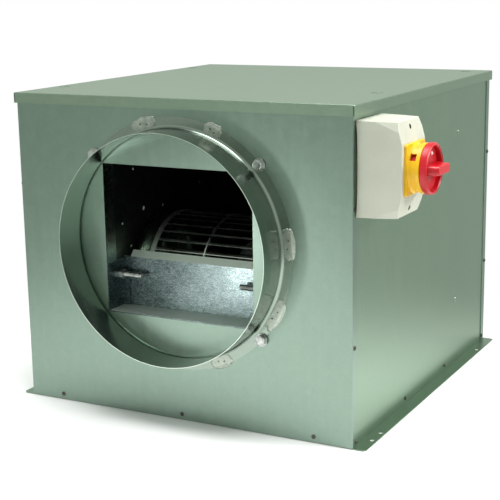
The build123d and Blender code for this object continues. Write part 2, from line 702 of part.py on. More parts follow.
def make_wheel():
    pitch = 360 / BLADE_COUNT
    ring_in = WHEEL_HALF_WIDTH - 2.0
    turns = [BLADE_PHASE + pitch * i for i in range(BLADE_COUNT)]
    blades = [blade(-ring_in, -DISC_HALF, turn) for turn in turns]
    blades += [blade(DISC_HALF, ring_in, turn) for turn in turns]
    save("impeller_blades", *blades)
    lip = WHEEL_RADIUS + 0.3
    outline = [
        (BLADE_ROOT_RADIUS + 0.5, 0),
        (lip, 0),
        (lip, -7.0),
        (lip + RING_SHEET, -7.0),
        (lip + RING_SHEET, RING_SHEET),
        (BLADE_ROOT_RADIUS + 0.5, RING_SHEET),
    ]
    sides = (-1, 1)
    save("impeller_rings", *[turned(outline, (s * ring_in, AXIS_Y, AXIS_Z), (s, 0, 0)) for s in sides])
    axis_point = (-DISC_HALF, AXIS_Y, AXIS_Z)
    disc = rod(axis_point, (1, 0, 0), WHEEL_RADIUS + 0.8, 2 * DISC_HALF)
    disc -= rod((-2, AXIS_Y, AXIS_Z), (1, 0, 0), SHAFT_RADIUS, 4)
    for i in range(6):
        y, z = on_wheel(19.0, 60 * i)
        disc -= rod((-2, y, z), (1, 0, 0), 2.0, 4)
    save("impeller_disc", disc)
    hub_outline = [
        (SHAFT_RADIUS, DISC_HALF),
        (25, DISC_HALF),
        (25, DISC_HALF + 2.5),
        (13, DISC_HALF + 4.0),
        (13, 20),
        (SHAFT_RADIUS, 20),
    ]
    save("impeller_hub", turned(hub_outline, (0, AXIS_Y, AXIS_Z), (1, 0, 0)))
    rivets = []
    for i in range(6):
        y, z = on_wheel(19.0, 60 * i)
        dome = [(0, 0), (3.4, 0), (2.5, 1.0), (0, 1.4)]
        start = (-DISC_HALF, y, z)
        rivets.append(turned(dome, start, (-1, 0, 0)) + rod(start, (1, 0, 0), 2.0, 2 * DISC_HALF))
    save("impeller_rivets", *rivets)


# ------------------------------------------------------------------ motor

def make_motor():
    along = (1, 0, 0)
    shell_start = MOTOR_START + BELL_THICKNESS
    shell_end = MOTOR_END - BELL_THICKNESS
    bore = MOTOR_RADIUS - MOTOR_WALL
    start = (shell_start, AXIS_Y, AXIS_Z)
    save("motor_casing", tube(start, along, MOTOR_RADIUS, bore, shell_end - shell_start))
    hole = SHAFT_RADIUS + 0.6
    bells = []
    for face, direction in ((MOTOR_START, 1), (MOTOR_END, -1)):
        bell_outline = [
            (hole, 0),
            (MOTOR_RADIUS - 5, 0),
            (MOTOR_RADIUS, 3),
            (MOTOR_RADIUS, BELL_THICKNESS),
            (BEARING_RADIUS + 4, BELL_THICKNESS),
            (BEARING_RADIUS + 4, BELL_THICKNESS + BEARING_WIDTH),
            (BEARING_RADIUS, BELL_THICKNESS + BEARING_WIDTH),
            (BEARING_RADIUS, BELL_THICKNESS),
            (hole, BELL_THICKNESS),
        ]
        bell = turned(bell_outline, (face, AXIS_Y, AXIS_Z), (direction, 0, 0))
        if direction < 0:
            y, z = on_wheel(CABLE_EXIT_RADIUS, CABLE_EXIT_ANGLE)
            bell -= rod((MOTOR_END - 8, y, z), along, CABLE_RADIUS + 0.05, 10)
        bells.append(bell)
    save("motor_end_bells", *bells)
    bearings = [
        tube((x, AXIS_Y, AXIS_Z), along, BEARING_RADIUS, SHAFT_RADIUS + BEARING_CLEARANCE, BEARING_WIDTH)
        for x in (MOTOR_START + BELL_THICKNESS, MOTOR_END - BELL_THICKNESS - BEARING_WIDTH)
    ]
    save("motor_bearings", *bearings)
    core_start = 58.0
    core_length = 46.0
    save("motor_stator", tube((core_start, AXIS_Y, AXIS_Z), along, bore, 38.0, core_length))
    ends = (core_start - 8, core_start + core_length)
    save("motor_windings", *[tube((x, AXIS_Y, AXIS_Z), along, bore - 3, 38.5, 8.0) for x in ends])
    save("motor_rotor", tube((core_start - 1, AXIS_Y, AXIS_Z), along, 37.4, SHAFT_RADIUS, core_length + 2))
    save("motor_shaft", rod((-12, AXIS_Y, AXIS_Z), along, SHAFT_RADIUS, MOTOR_END - 1 + 12))


def make_motor_mount():
    along = (1, 0, 0)
    band_out = MOTOR_RADIUS + 1.6
    save("motor_band", tube((119, AXIS_Y, AXIS_Z), along, band_out, MOTOR_RADIUS, 11))
    arms = []
    bushes = []
    bolts = []
    face = SCROLL_HALF_WIDTH + SHEET
    for angle in ARM_ANGLES:
        y, z = on_wheel(ARM_RADIUS, angle)
        bar = block(0, 3.0, band_out, ARM_RADIUS + 8.0, -7.0, 7.0)
        bar -= rod((-1, ARM_RADIUS, 0), along, 3.2, 6)
        placed = Pos(ARM_X, AXIS_Y, AXIS_Z) * Rot(angle, 0, 0) * bar
        arms.append(placed - rod((100, AXIS_Y, AXIS_Z), along, band_out, 40))
        bushes.append(tube((face, y, z), along, 8.0, 3.2, ARM_X - face))
        bolts.append(hex_bolt((ARM_X + 3.0, y, z), along, ARM_X + 3.0 - face + 8.0, 10.0, 4.0, 3.0))
    save("motor_arms", *arms)
    save("arm_bushes", *bushes)
    save("arm_bolts", *bolts)


def make_capacitor():
    start = (205.0, 30.0, 30.0)
    can = turned([(0, 0), (16.5, 0), (17.5, 1.5), (17.5, 68), (16.5, 70), (0, 70)], start, (0, 1, 0))
    stud = rod(start, (0, -1, 0), 4.0, 9.0)
    save("capacitor", can + stud)
    x, y, z = start
    clip = tube((x, y + 28, z), (0, 1, 0), 18.7, 17.6, 16.0)
    clip += block(x - 12, x + 12, y + 28, y + 44, SHEET, SHEET + 1.2)
    clip += block(x - 4, x + 4, y + 28, y + 44, SHEET, z - 18.2)
    clip -= rod((x, y + 20, z), (0, 1, 0), 17.6, 40)
    save("capacitor_clip", clip)


def bend_radii(route):
    """The roundest bends that fit at the inner points of a route."""
    radii = []
    for before, here, after in zip(route, route[1:], route[2:]):
        run_in = Vector(*here) - Vector(*before)
        run_out = Vector(*after) - Vector(*here)
        half_turn = math.radians(run_in.get_angle(run_out)) / 2
        radii.append(0.45 * min(run_in.length, run_out.length) / math.tan(half_turn))
    return radii


def make_motor_cable():
    y, z = on_wheel(CABLE_EXIT_RADIUS, CABLE_EXIT_ANGLE)
    end_z = BOX_MID_Z - CABLE_ENTRY_DROP
    route = [
        (MOTOR_END - 4, y, z),
        (152, y, z),
        (170, y - 8, z + 8),
        (184, y - 26, z + 34),
        (192, y - 52, z + 72),
        (202, y - 84, z + 104),
        (220, BOX_MID_Y, end_z),
        (TERMINAL_X, BOX_MID_Y, end_z),
    ]
    path = FilletPolyline(*route, radius=bend_radii(route))
    section = Plane(origin=path @ 0, z_dir=path % 0) * Circle(CABLE_RADIUS)
    save("motor_cable", sweep(section, path))
    grommet_x = PANEL_SIDE - SHEET
    collar = tube((grommet_x - 1.8, BOX_MID_Y, end_z), (1, 0, 0), 10.5, CABLE_RADIUS + 0.05, 1.8)
    neck = tube((grommet_x, BOX_MID_Y, end_z), (1, 0, 0), 8.1, CABLE_RADIUS + 0.05, 8.0)
    save("cable_grommet", collar + neck)


# ------------------------------------------------------------------ isolator switch

def box_screws():
    """Where the switch box is screwed to the side panel, as (y, z)."""
    return [(BOX_MID_Y + dy, BOX_MID_Z + dz) for dy, dz in ((-24.0, -44.0), (24.0, 44.0))]


def on_switch(x0, x1, size_y, size_z):
    """A box centred on the switch's axis."""
    dy = size_y / 2
    dz = size_z / 2
    return block(x0, x1, BOX_MID_Y - dy, BOX_MID_Y + dy, BOX_MID_Z - dz, BOX_MID_Z + dz)


def box_form(inset):
    """The switch box's outer form, or its hollow when inset by the wall."""
    low = BOX_LOW + inset
    high = BOX_LOW + BOX_HEIGHT - inset
    front = BOX_FRONT - inset
    y0 = BOX_START + inset
    y1 = BOX_START + BOX_WIDTH - inset
    draft = 1.2
    points = [
        (BOX_BACK, low),
        (BOX_FACET_X - inset, low + draft),
        (front, low + BOX_FACET_Z),
        (front, high - BOX_FACET_Z),
        (BOX_FACET_X - inset, high - draft),
        (BOX_BACK, high),
    ]
    outline = make_face(Polyline(*[(x, y0, z) for x, z in points], close=True))
    form = extrude(outline, y1 - y0, dir=(0, 1, 0))
    for y, into_y in ((y0, 1), (y1, -1)):
        for z, into_z in ((low, 1), (high, -1)):
            start = Vector(BOX_FRONT - BOX_CORNER_X - inset, y, z)
            side_point = Vector(front, y, z + into_z * BOX_CORNER_Z)
            end_point = Vector(BOX_FACET_X - inset, y + into_y * BOX_CORNER_Y, z)
            normal = (side_point - start).cross(end_point - start)
            if normal.X < 0:
                normal = normal * -1
            form = split(form, bisect_by=Plane(origin=start, z_dir=normal), keep=Keep.BOTTOM)
    return form


def facet_frame(sign):
    """A plane on the cover's top (+1) or bottom (-1) facet, at its screw, facing outward."""
    z = BOX_MID_Z + sign * (BOX_HEIGHT / 2 - 9.5)
    rise = BOX_FACET_Z - 1.2
    run = BOX_FRONT - BOX_FACET_X
    x = BOX_FRONT - run * (BOX_FACET_Z - 9.5) / rise
    return Plane(origin=(x, BOX_MID_Y, z), z_dir=(rise, 0, sign * run))


def make_switch_box():
    form = box_form(0)
    front_edges = [e for e in form.edges() if e.center().X > BOX_BACK + 1.0]
    cover = fillet(front_edges, BOX_EDGE) - box_form(BOX_WALL)
    top = BOX_LOW + BOX_HEIGHT
    bow = make_face([
        ThreePointArc(
            (BOX_BACK, BOX_START, BOX_LOW),
            (BOX_BACK + BOX_BOW, BOX_START, BOX_MID_Z),
            (BOX_BACK, BOX_START, top),
        ),
        Line((BOX_BACK, BOX_START, top), (BOX_BACK, BOX_START, BOX_LOW)),
    ])
    cover -= extrude(bow, BOX_WIDTH, dir=(0, 1, 0))
    cover -= rod((BOX_FRONT - 10, BOX_MID_Y, BOX_MID_Z), (1, 0, 0), 11.0, 20)
    screws = []
    bottom = (Align.CENTER, Align.CENTER, Align.MIN)
    for sign in (-1, 1):
        frame = facet_frame(sign)
        cover -= frame * Pos(0, 0, -1.8) * Cylinder(3.3, 4, align=bottom)
        cover -= frame * Pos(0, 0, -6) * Cylinder(1.9, 8, align=bottom)
        head = frame * Pos(0, 0, -1.8) * Cylinder(3.1, 1.5, align=bottom)
        shank = frame * Pos(0, 0, -14) * Cylinder(1.8, 12.2, align=bottom)
        slot = frame * Pos(0, 0, -0.3) * Box(7.0, 1.1, 1.8)
        screws.append(head + shank - slot)
    save("switch_cover", cover)
    save("switch_cover_screws", *screws)
    gap = 3.0
    y0 = BOX_START + gap
    y1 = BOX_START + BOX_WIDTH - gap
    z0 = BOX_LOW + gap
    z1 = top - gap
    deep = BOX_BACK + 20.0
    base = block(BOX_BACK, deep, y0, y1, z0, z1)
    base -= block(BOX_BACK + 2.5, deep, y0 + 2, y1 - 2, z0 + 2, z1 - 2)
    end_z = BOX_MID_Z - CABLE_ENTRY_DROP
    base -= rod((BOX_BACK - 1, BOX_MID_Y, end_z), (1, 0, 0), 8.6, 6)
    for y, z in box_screws():
        base -= rod((BOX_BACK - 1, y, z), (1, 0, 0), 2.1, 6)
    knock = BOX_BACK + 12.0
    for z in (z0 + 2, z1):
        base -= tube((knock, BOX_MID_Y + 15, z - 0.8), (0, 0, 1), 6.8, 6.0, 0.8)
    save("switch_base", base)
    seal_y0 = FRONT + RETURN_WIDTH + 0.2
    seal = block(PANEL_SIDE, BOX_BACK, seal_y0, y1, z0, z1)
    seal -= rod((PANEL_SIDE - 1, BOX_MID_Y, end_z), (1, 0, 0), 8.6, 6)
    for y, z in box_screws():
        seal -= rod((PANEL_SIDE - 1, y, z), (1, 0, 0), 2.1, 6)
    save("switch_seal", seal)
    wall_screws = [pan_screw((BOX_BACK + 2.5, y, z), (1, 0, 0), 3.4, 1.8, 8.0) for y, z in box_screws()]
    save("switch_base_screws", *wall_screws)


def make_switch():
    start = BOX_BACK + 2.5
    body = block(start, SWITCH_FRONT, BOX_MID_Y - 21, BOX_MID_Y + 21, BOX_MID_Z - 14, BOX_MID_Z + 24)
    body += rod((SWITCH_FRONT, BOX_MID_Y, BOX_MID_Z), (1, 0, 0), 9.5, 4)
    body -= rod((start + 6, BOX_MID_Y, BOX_MID_Z), (1, 0, 0), 5.3, 60)
    for dy in (-14.0, -4.7, 4.7, 14.0):
        body -= rod((start + 22, BOX_MID_Y + dy, BOX_MID_Z + 19), (1, 0, 0), 2.6, 40)
    save("switch_body", body)
    end_z = BOX_MID_Z - CABLE_ENTRY_DROP
    terminal = block(TERMINAL_X, TERMINAL_X + 15, BOX_MID_Y - 20, BOX_MID_Y + 20, end_z - 10, end_z + 10)
    for dy in (-14.0, -4.7, 4.7, 14.0):
        terminal -= rod((TERMINAL_X + 9, BOX_MID_Y + dy, end_z - 4), (1, 0, 0), 2.6, 10)
    foot = block(start, TERMINAL_X, BOX_MID_Y + 12, BOX_MID_Y + 20, end_z - 10, end_z + 10)
    save("terminal_block", terminal + foot)
    spindle_low = start + 8
    save("switch_spindle", on_switch(spindle_low, KNOB_FLOOR - 1, SPINDLE_SIDE, SPINDLE_SIDE))


def make_handle():
    plate = on_switch(BOX_FRONT, BOX_FRONT + PLATE_THICKNESS, PLATE_SIZE, PLATE_SIZE)
    plate = fillet(plate.edges().filter_by(Axis.X), 4.0)
    plate = chamfer(plate.faces().sort_by(Axis.X)[-1].edges(), 0.8)
    face = BOX_FRONT + PLATE_THICKNESS
    height = KNOB_BACK - KNOB_GAP - face
    axis = (BOX_MID_Y, BOX_MID_Z)
    collar = tube((face, *axis), (1, 0, 0), COLLAR_RADIUS, COLLAR_RADIUS - 3.0, height)
    rim_start = KNOB_BACK - KNOB_GAP - COLLAR_RIM
    rim = tube((rim_start, *axis), (1, 0, 0), COLLAR_RADIUS + 1.8, COLLAR_RADIUS - 3.0, COLLAR_RIM)
    rim = fillet(rim.faces().sort_by(Axis.X)[-1].outer_wire().edges(), 1.0)
    flare = [(COLLAR_RADIUS - 2.0, 0), (COLLAR_RADIUS + 2.3, 0)]
    flare += [(COLLAR_RADIUS + 0.7, COLLAR_FLARE / 2), (COLLAR_RADIUS - 2.0, COLLAR_FLARE)]
    plate += collar + rim + turned(flare, (face, *axis), (1, 0, 0))
    plate -= rod((BOX_FRONT - 1, *axis), (1, 0, 0), 11.0, 10)
    for angle in WINDOW_ANGLES:
        window = Pos(face + 5.2, *axis) * Rot(angle, 0, 0) * Pos(0, COLLAR_RADIUS, 0) * Box(7.5, 12.0, 9.5)
        plate -= window
    save("handle_plate", plate)
    ring = [
        (0, KNOB_BACK),
        (KNOB_RADIUS - 1.2, KNOB_BACK),
        (KNOB_RADIUS, KNOB_BACK + 1.2),
        (KNOB_RADIUS, KNOB_RIM - 2.6),
        (KNOB_RADIUS - 0.9, KNOB_RIM - 0.8),
        (KNOB_RADIUS - 2.4, KNOB_RIM),
        (KNOB_DISH_RADIUS + 1.2, KNOB_RIM - 0.4),
        (KNOB_DISH_RADIUS, KNOB_RIM - 1.6),
        (KNOB_DISH_RADIUS - 1.5, KNOB_FLOOR),
        (0, KNOB_FLOOR),
    ]
    knob = turned(ring, (0, *axis), (1, 0, 0))
    skirt_start = face + 1.6
    skirt_out = COLLAR_RADIUS - 4.2
    knob += tube((skirt_start, *axis), (1, 0, 0), skirt_out, skirt_out - 2.8, KNOB_BACK - skirt_start)
    knob += rod((skirt_start, *axis), (1, 0, 0), 9.0, KNOB_FLOOR - skirt_start)
    root = Plane(origin=(KNOB_FLOOR, *axis), z_dir=(1, 0, 0), x_dir=(0, 1, 0))
    crest = Plane(origin=(GRIP_FRONT, *axis), z_dir=(1, 0, 0), x_dir=(0, 1, 0))
    low_outline = root * RectangleRounded(GRIP_LENGTH, GRIP_WIDTH + 1.5, 5.0)
    high_outline = crest * RectangleRounded(GRIP_CREST, GRIP_WIDTH, 5.0)
    grip = loft([low_outline, high_outline])
    knob += fillet(grip.faces().sort_by(Axis.X)[-1].edges(), 1.6)
    knob -= on_switch(skirt_start - 1, KNOB_FLOOR - 1, SPINDLE_SIDE, SPINDLE_SIDE)
    save("handle_knob", knob)
    mark = (KNOB_FLOOR, BOX_MID_Y + 6.0, BOX_MID_Z + 18.0)
    save("knob_marker", turned([(0, 0), (2.4, 0), (2.0, 0.8), (0, 1.0)], mark, (1, 0, 0)))


os.makedirs("parts", exist_ok=True)
make_lid()
make_end_panels()
make_side_panels()
make_base_tray()
make_stiffeners()
make_spigots()
make_casing_fasteners()
make_outlet_frame()
make_scroll()
make_side_plates()
make_inlet_cones()
make_blower_rivets()
make_cutoff()
make_cutoff_bolts()
make_nuts()
make_blower_feet()
make_wheel()
make_motor()
make_motor_mount()
make_capacitor()
make_motor_cable()
make_switch_box()
make_switch()
make_handle()
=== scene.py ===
import math

import bmesh
import bpy
from mathutils import Matrix, Vector, noise


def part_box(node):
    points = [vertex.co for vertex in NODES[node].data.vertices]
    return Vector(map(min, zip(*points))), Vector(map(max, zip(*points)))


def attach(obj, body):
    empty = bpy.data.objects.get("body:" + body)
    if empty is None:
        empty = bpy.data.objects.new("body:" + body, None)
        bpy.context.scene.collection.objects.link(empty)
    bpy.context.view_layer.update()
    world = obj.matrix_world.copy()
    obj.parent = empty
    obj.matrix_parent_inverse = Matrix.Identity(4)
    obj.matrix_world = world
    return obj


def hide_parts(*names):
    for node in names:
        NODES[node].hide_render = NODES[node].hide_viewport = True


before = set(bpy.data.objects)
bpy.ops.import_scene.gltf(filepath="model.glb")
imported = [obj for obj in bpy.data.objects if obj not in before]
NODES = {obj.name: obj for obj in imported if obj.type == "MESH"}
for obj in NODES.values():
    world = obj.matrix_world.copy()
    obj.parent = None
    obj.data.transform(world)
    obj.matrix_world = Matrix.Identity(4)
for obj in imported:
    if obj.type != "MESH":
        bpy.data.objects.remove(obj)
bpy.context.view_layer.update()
SCENE = bpy.context.scene

# The outlet's ring, the casing's front face and the wheel, in metres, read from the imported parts.
SPIGOT_LOW, SPIGOT_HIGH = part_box("outlet_spigot")
RING_RADIUS = (SPIGOT_HIGH.x - SPIGOT_LOW.x) / 2
RING_X = (SPIGOT_HIGH.x + SPIGOT_LOW.x) / 2
RING_Z = (SPIGOT_HIGH.z + SPIGOT_LOW.z) / 2
FACE_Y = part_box("front_panel")[0].y
WHEEL_LOW, WHEEL_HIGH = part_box("impeller_blades")
WHEEL_RADIUS = (WHEEL_HIGH.z - WHEEL_LOW.z) / 2
AXIS_Y = (WHEEL_HIGH.y + WHEEL_LOW.y) / 2
AXIS_Z = (WHEEL_HIGH.z + WHEEL_LOW.z) / 2


# ---------------------------------------------------------------- materials

class Nodes:
    """A short way to write a material's node tree."""

    def __init__(self, name):
        self.material = bpy.data.materials.new(name)
        self.material.use_nodes = True
        self.tree = self.material.node_tree
        self.shader = self.tree.nodes["Principled BSDF"]
        self.place = self.add("ShaderNodeTexCoord").outputs["Object"]

    def add(self, kind, **settings):
        node = self.tree.nodes.new(kind)
        for key, value in settings.items():
            setattr(node, key, value)
        return node

    def link(self, source, target):
        if isinstance(source, (int, float, tuple)):
            target.default_value = source
        else:
            self.tree.links.new(source, target)

    def stretch(self, scale):
        node = self.add("ShaderNodeMapping")
        node.inputs["Scale"].default_value = scale
        self.link(self.place, node.inputs["Vector"])
        return node.outputs["Vector"]

    def along(self, vector, axis):
        node = self.add("ShaderNodeSeparateXYZ")
        self.link(vector, node.inputs["Vector"])
        return node.outputs[axis]

    def noise(self, vector, scale, detail=3.0, roughness=0.5):
        node = self.add("ShaderNodeTexNoise")
        self.link(vector, node.inputs["Vector"])
        node.inputs["Scale"].default_value = scale
        node.inputs["Detail"].default_value = detail
        node.inputs["Roughness"].default_value = roughness
        return node.outputs["Fac"]

    def cells(self, vector, scale):
        cell = self.add("ShaderNodeTexVoronoi")
        self.link(vector, cell.inputs["Vector"])
        cell.inputs["Scale"].default_value = scale
        level = self.add("ShaderNodeSeparateColor")
        self.link(cell.outputs["Color"], level.inputs["Color"])
        return level.outputs["Red"]

    def math(self, operation, a, b=0.0, clamp=False):
        node = self.add("ShaderNodeMath", operation=operation, use_clamp=clamp)
        self.link(a, node.inputs[0])
        self.link(b, node.inputs[1])
        return node.outputs["Value"]

    def span(self, value, low, high, to_low=0.0, to_high=1.0, smooth=False):
        node = self.add("ShaderNodeMapRange")
        if smooth:
            node.interpolation_type = "SMOOTHSTEP"
        self.link(value, node.inputs["Value"])
        node.inputs["From Min"].default_value = low
        node.inputs["From Max"].default_value = high
        node.inputs["To Min"].default_value = to_low
        node.inputs["To Max"].default_value = to_high
        return node.outputs["Result"]

    def blend(self, factor, a, b):
        node = self.add("ShaderNodeMix", data_type="RGBA", blend_type="MIX")
        self.link(factor, node.inputs["Factor"])
        self.link(a, node.inputs[6])
        self.link(b, node.inputs[7])
        return node.outputs[2]

    def colour(self, source):
        self.link(source, self.shader.inputs["Base Color"])

    def rough(self, source):
        self.link(source, self.shader.inputs["Roughness"])

    def bump(self, height, strength, distance):
        node = self.add("ShaderNodeBump")
        node.inputs["Strength"].default_value = strength
        node.inputs["Distance"].default_value = distance
        self.link(height, node.inputs["Height"])
        self.link(node.outputs["Normal"], self.shader.inputs["Normal"])

    def set(self, **values):
        for key, value in values.items():
            self.shader.inputs[key.replace("_", " ")].default_value = value


def tint(red, green, blue):
    """A linear colour from an sRGB one with channels of 0 to 255."""
    def linear(value):
        share = value / 255
        return share / 12.92 if share <= 0.04045 else ((share + 0.055) / 1.055) ** 2.4
    return (linear(red), linear(green), linear(blue), 1.0)


# Colour and width of a painted highlight along the spigot's rim, standing in for the light its edge catches.
RIM_HIGHLIGHT = tint(196, 206, 194)
RIM_HIGHLIGHT_WIDTH = 0.0012
CLOUD_SCALE = 2.6
STREAK_SCALE = 110.0
CRYSTAL_SCALE = 110.0
FINE_CRYSTAL_SCALE = 420.0
UPRIGHT_STREAKS = (1.0, 1.0, 0.06)
LENGTHWISE_STREAKS = (1.0, 0.06, 1.0)
COLLAR_STREAKS = (1.0, 0.08, 1.0)


def galvanised(name, light, dark, roughness, spangle, streaks=UPRIGHT_STREAKS, cloud=0.4, edge=None):
    """Zinc-coated sheet: slow clouds, drawn streaks and a faint spangle.

    With an edge given, a painted highlight brightens the sheet along its rim, at that distance from the
    middle along Y.
    """
    m = Nodes(name)
    clouds = m.noise(m.place, CLOUD_SCALE, 4.0, 0.55)
    lines = m.noise(m.stretch(streaks), STREAK_SCALE, 3.0, 0.6)
    crystals = m.cells(m.place, CRYSTAL_SCALE)
    fine = m.cells(m.place, FINE_CRYSTAL_SCALE)
    mix = m.math("MULTIPLY", m.span(clouds, 0.3, 0.7), cloud)
    mix = m.math("ADD", mix, m.math("MULTIPLY", m.span(lines, 0.3, 0.7), 0.2))
    mix = m.math("ADD", mix, m.math("MULTIPLY", crystals, spangle))
    mix = m.math("ADD", mix, m.math("MULTIPLY", fine, 0.12), clamp=True)
    sheet = m.blend(mix, dark, light)
    # Painted highlight: the sheet is brightened in a thin band along its rim.
    if edge is not None:
        out = m.math("ABSOLUTE", m.along(m.place, "Y"))
        at_rim_highlight = m.span(out, edge - RIM_HIGHLIGHT_WIDTH, edge - 0.75 * RIM_HIGHLIGHT_WIDTH)
        sheet = m.blend(at_rim_highlight, sheet, RIM_HIGHLIGHT)
    m.colour(sheet)
    crystal_gloss = m.span(crystals, 0.0, 1.0, roughness - 0.012, roughness + 0.015)
    m.rough(m.math("ADD", crystal_gloss, m.span(lines, 0.3, 0.7, -0.02, 0.02)))
    m.bump(m.math("ADD", m.math("MULTIPLY", lines, 0.3), m.math("MULTIPLY", fine, 0.15)), 0.03, 0.0002)
    m.set(Metallic=1.0)
    return m.material


def spangled(name, light, dark, painted_upward_light, scale, roughness):
    """Sheet with fine zinc crystals, darker towards its left end by painted shade and paler on its upward
    folds by a painted highlight.
    """
    m = Nodes(name)
    crystal = m.cells(m.stretch((0.45, 1.0, 1.2)), scale)
    fine = m.cells(m.place, scale * 2.6)
    clouds = m.noise(m.place, 14.0, 4.0, 0.6)
    mix = m.math("ADD", m.math("MULTIPLY", crystal, 0.45), m.math("MULTIPLY", fine, 0.35))
    mix = m.math("ADD", mix, m.span(clouds, 0.35, 0.65, 0.0, 0.3))
    # Painted shade: the plate is darkened towards its left end, inside the blower.
    painted_left_shade = m.span(m.along(m.place, "X"), -0.10, 0.02, -0.45, 0.0)
    mix = m.math("ADD", mix, painted_left_shade, clamp=True)
    facing = m.add("ShaderNodeTexCoord").outputs["Normal"]
    # Painted highlight: faces turned upward are paler, as if lit from above; they are also rougher.
    upward_lit = m.span(m.along(facing, "Z"), 0.3, 0.4)
    m.colour(m.blend(upward_lit, m.blend(mix, dark, light), painted_upward_light))
    gloss = m.span(fine, 0.0, 1.0, roughness - 0.08, roughness + 0.14)
    m.rough(m.math("ADD", gloss, m.math("MULTIPLY", upward_lit, 0.3)))
    m.bump(m.math("ADD", crystal, fine), 0.3, 0.0003)
    m.set(Metallic=1.0)
    return m.material


# The wheel's outer edges carry a painted highlight to this depth.
RIM_LIGHT_DEPTH = 0.0040  # how far in from the wheel's rim the strip is bright


def wheel_strip(name, light, dark, edge):
    """The wheel's strip: metal darkened by painted shade with random mottling, its outer edges brightened by
    a painted highlight.
    """
    m = Nodes(name)
    across = m.math("SUBTRACT", m.along(m.place, "Y"), AXIS_Y)
    height = m.math("SUBTRACT", m.along(m.place, "Z"), AXIS_Z)
    squares = m.math("ADD", m.math("MULTIPLY", across, across), m.math("MULTIPLY", height, height))
    radius = m.math("SQRT", squares)
    # Painted highlight: the strip is brightened near the wheel's rim, where its edges would catch the light.
    painted_rim_light = m.span(radius, WHEEL_RADIUS - RIM_LIGHT_DEPTH, WHEEL_RADIUS - 0.3 * RIM_LIGHT_DEPTH, smooth=True)
    grime = m.noise(m.place, 70.0, 4.0, 0.6)
    body = m.blend(m.span(grime, 0.35, 0.65), dark, light)
    m.colour(m.blend(painted_rim_light, body, edge))
    m.rough(m.span(grime, 0.3, 0.7, 0.26, 0.42))
    m.bump(grime, 0.1, 0.0003)
    m.set(Metallic=1.0)
    return m.material


def plated(name, light, dark, roughness):
    """Small plated steel parts: bright with dull blotches and fine turning marks."""
    m = Nodes(name)
    blotch = m.noise(m.place, 160.0, 4.0, 0.6)
    marks = m.noise(m.stretch((1.0, 1.0, 9.0)), 900.0, 2.0, 0.5)
    m.colour(m.blend(m.span(blotch, 0.35, 0.65), dark, light))
    m.rough(m.span(blotch, 0.3, 0.7, roughness - 0.06, roughness + 0.12))
    m.bump(marks, 0.10, 0.0002)
    m.set(Metallic=0.95)
    return m.material


def moulded(name, light, dark, roughness, grain=1400.0, grain_depth=0.10):
    """Injection-moulded plastic or rubber: an even colour with soft mottling and a fine grain."""
    m = Nodes(name)
    slow = m.noise(m.place, 25.0, 3.0, 0.55)
    quick = m.noise(m.place, grain, 2.0, 0.5)
    m.colour(m.blend(m.span(slow, 0.35, 0.65), dark, light))
    m.rough(m.span(slow, 0.3, 0.7, roughness - 0.04, roughness + 0.06))
    m.bump(quick, grain_depth, 0.0003)
    return m.material


def sealant(name, light, dark):
    """The pale, slightly glassy patches over the spigot's welds."""
    m = Nodes(name)
    blotch = m.noise(m.place, 150.0, 4.0, 0.65)
    flecks = m.noise(m.place, 520.0, 3.0, 0.6)
    m.colour(m.blend(m.span(blotch, 0.38, 0.62), dark, light))
    m.rough(m.span(blotch, 0.3, 0.7, 0.25, 0.45))
    m.bump(m.math("ADD", blotch, m.math("MULTIPLY", flecks, 0.3)), 0.2, 0.0005)
    m.set(Metallic=0.88, Coat_Weight=0.15, Coat_Roughness=0.3)
    return m.material


def laminated(name, light, dark):
    """Stacked electrical sheet: fine rings across the axis."""
    m = Nodes(name)
    wave = m.add("ShaderNodeTexWave", bands_direction="X")
    m.link(m.place, wave.inputs["Vector"])
    wave.inputs["Scale"].default_value = 160.0
    m.colour(m.blend(wave.outputs["Fac"], dark, light))
    m.rough(m.span(wave.outputs["Fac"], 0.0, 1.0, 0.4, 0.6))
    m.set(Metallic=0.8)
    return m.material


CASING = galvanised("casing_sheet", tint(143, 161, 148), tint(127, 146, 134), 0.33, 0.16, cloud=0.12)
SIDE_SHEET = galvanised("side_sheet", tint(144, 166, 146), tint(128, 149, 130), 0.35, 0.15, cloud=0.12)
TOP_SHEET = galvanised("lid_sheet", tint(146, 165, 146), tint(134, 153, 134), 0.38, 0.14,
                       LENGTHWISE_STREAKS, cloud=0.10)
# The spigot's sheet carries a painted highlight along its rim.
SPIGOT = galvanised("spigot_sheet", tint(152, 165, 154), tint(134, 147, 136), 0.20, 0.06,
                    COLLAR_STREAKS, cloud=0.12, edge=-SPIGOT_LOW.y)
OUTLET = galvanised("outlet_sheet", tint(158, 172, 160), tint(132, 148, 136), 0.28, 0.3)
# The blower is the same zinc sheet as the casing; its darker tints are painted shade for the unlit inside of
# the blower.
BLOWER_SHADED = galvanised("blower_sheet_painted_shade", tint(112, 120, 114), tint(78, 86, 82), 0.34, 0.5)
DULL_IN = galvanised("inner_sheet", tint(160, 172, 160), tint(124, 138, 126), 0.42, 0.4)
# The cut-off sheet: painted shade at its left end, and its last tint is a painted highlight on its upward
# faces.
CUTOFF = spangled("cutoff_sheet", tint(160, 176, 176), tint(66, 80, 80), tint(226, 236, 228), 640.0, 0.20)
# The wheel's dark tints are painted shade for the unlit inside of the blower; the last tint is its painted
# rim highlight.
WHEEL = wheel_strip("wheel_strip", tint(84, 90, 86), tint(46, 50, 48), tint(236, 238, 230))
BRIGHT = plated("bright_zinc", tint(205, 208, 205), tint(140, 144, 140), 0.28)
